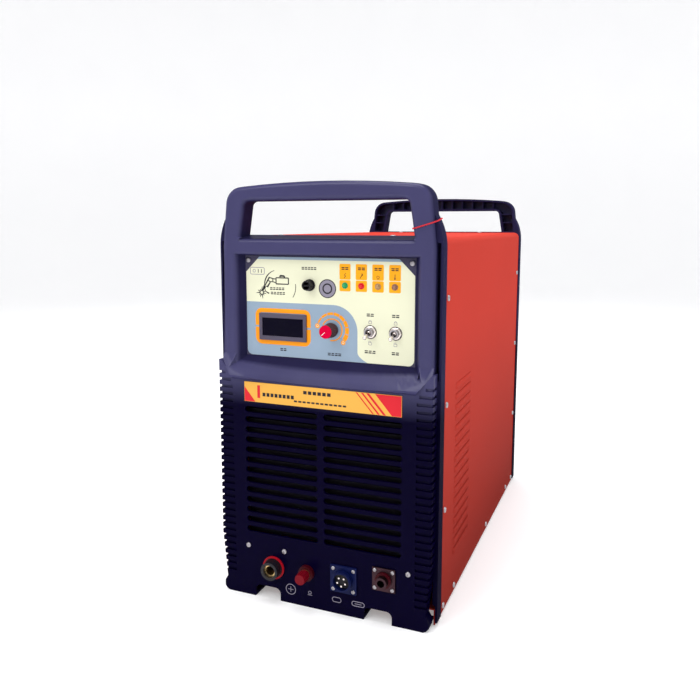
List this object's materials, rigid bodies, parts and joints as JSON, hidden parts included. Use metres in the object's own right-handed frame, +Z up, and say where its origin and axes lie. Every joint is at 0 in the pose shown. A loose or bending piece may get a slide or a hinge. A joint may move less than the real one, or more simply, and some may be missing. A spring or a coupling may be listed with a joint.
{
  "type": "plasma cutter unit",
  "caption": "Upright boxy power unit: moulded ends with top handles, orange sheet cover, recessed control panel, outlets along the foot",
  "frame": {"origin": "on the floor plane, at the middle of the machine's width and depth", "axes": "+X to the right as one faces the control panel, +Y from the control panel to the rear, +Z up"},
  "size_m": [0.3212, 0.688, 0.585],
  "materials": {
    "bezel_plastic": "satin moulded plastic, dark indigo, fine texture",
    "cover_paint": "glossy orange-red coat on sheet steel",
    "zinc_screws": "bright zinc plated steel",
    "plate_steel": "grey painted sheet",
    "overlay_print": "printed plastic film, cream with a blue-grey band",
    "nameplate_foil": "printed glossy strip, yellow-orange and red",
    "display_frame": "grey moulded frame",
    "display_glass": "dark tinted window",
    "green_board": "lacquered circuit board with its parts",
    "knob_plastic": "dark soft-touch plastic",
    "red_plastic": "red moulded plastic",
    "chrome_metal": "polished nickel or chrome plate",
    "green_lens": "green lamp lens",
    "red_lens": "red lamp lens",
    "amber_lens": "amber lamp lens",
    "brown_lens": "dull amber lamp lens",
    "black_plastic": "black moulded plastic",
    "dark_nickel": "black nickel plate",
    "brass_metal": "machined brass",
    "dark_red_plastic": "dark red moulded plastic",
    "blue_plastic": "blue moulded plastic",
    "core_iron": "ferrite core, dark grey",
    "winding_copper": "lacquered copper winding",
    "sink_aluminium": "extruded aluminium",
    "thread_fibre": "red twisted thread"
  },
  "bodies": {
    "machine": {"front_bezel": "bezel_plastic", "rear_bezel": "bezel_plastic", "cover": "cover_paint", "base_pan": "cover_paint", "cover_screws": "zinc_screws", "face_screws": "zinc_screws", "control_plate": "plate_steel", "control_overlay": "overlay_print", "nameplate": "nameplate_foil", "display_bezel": "display_frame", "display_window": "display_glass", "display_module": "green_board", "potentiometer": "zinc_screws", "pot_nut": "zinc_screws", "toggle_bodies": "zinc_screws", "toggle_nuts": "chrome_metal", "lamp_power": "green_lens", "lamp_cutting": "red_lens", "lamp_air": "amber_lens", "lamp_heat": "brown_lens", "fuse_holder": "black_plastic", "control_board": "green_board", "board_standoffs": "zinc_screws", "work_socket": "black_plastic", "work_socket_ring": "red_plastic", "work_socket_insert": "brass_metal", "pilot_stud": "brass_metal", "pilot_base": "dark_red_plastic", "signal_socket": "blue_plastic", "signal_insert": "black_plastic", "signal_pins": "chrome_metal", "torch_outlet": "dark_nickel", "torch_insulator": "dark_red_plastic", "outlet_screws": "zinc_screws", "rear_plate": "cover_paint", "breaker": "black_plastic", "cable_gland": "black_plastic", "gland_nut": "black_plastic", "air_inlet": "brass_metal", "air_pipe": "blue_plastic", "ground_stud": "zinc_screws", "fan_frame": "black_plastic", "fan_motor": "black_plastic", "chassis": "plate_steel", "transformer_cores": "core_iron", "transformer_windings": "winding_copper", "heat_sinks": "sink_aluminium", "power_cards": "green_board", "tie_thread": "thread_fibre"},
    "knob": {"pot_shaft": "zinc_screws", "current_knob": "knob_plastic", "knob_cap": "red_plastic"},
    "toggle_1": {"toggle_lever_1": "chrome_metal"},
    "toggle_2": {"toggle_lever_2": "chrome_metal"},
    "fuse": {"fuse_link": "zinc_screws"},
    "fuse_top": {"fuse_cap": "black_plastic"},
    "pilot_clamp": {"pilot_washer": "brass_metal"},
    "pilot_turn": {"pilot_knob": "red_plastic"},
    "breaker_arm": {"breaker_lever": "black_plastic"},
    "fan": {"fan_rotor": "black_plastic"}
  },
  "joints": [
    {"name": "knob_turn", "type": "hinge", "parent": "machine", "child": "knob", "pos_m": [0.0075, -0.3, 0.389], "axis": [0, 1, 0], "range_deg": [0, 270]},
    {"name": "toggle_1_swing", "type": "hinge", "parent": "machine", "child": "toggle_1", "pos_m": [0.062, -0.299, 0.389], "axis": [-1, 0, 0], "range_deg": [0, 30]},
    {"name": "toggle_2_swing", "type": "hinge", "parent": "machine", "child": "toggle_2", "pos_m": [0.097, -0.299, 0.389], "axis": [-1, 0, 0], "range_deg": [0, 30]},
    {"name": "fuse_slide", "type": "slide", "parent": "machine", "child": "fuse", "axis": [0, -1, 0], "range_m": [0, 0.035]},
    {"name": "fuse_cap_turn", "type": "hinge", "parent": "fuse", "child": "fuse_top", "pos_m": [-0.025, -0.3, 0.448], "axis": [0, -1, 0], "range_deg": [0, 90]},
    {"name": "pilot_washer_slide", "type": "slide", "parent": "machine", "child": "pilot_clamp", "axis": [0, -1, 0], "range_m": [0, 0.00501]},
    {"name": "pilot_knob_turn", "type": "hinge", "parent": "pilot_clamp", "child": "pilot_turn", "pos_m": [-0.021, -0.335, 0.051], "axis": [0, -1, 0], "range_deg": [0, 1440]},
    {"name": "breaker_swing", "type": "hinge", "parent": "machine", "child": "breaker_arm", "pos_m": [0.045, 0.296, 0.415], "axis": [1, 0, 0], "range_deg": [0, 50]},
    {"name": "fan_spin", "type": "hinge", "parent": "machine", "child": "fan", "pos_m": [0, 0.295, 0.19], "axis": [0, 1, 0], "continuous": true}
  ],
  "couplings": [
    {"joint": "pilot_washer_slide", "follows": "pilot_knob_turn", "m_per_rad": 0.00019894}
  ]
}
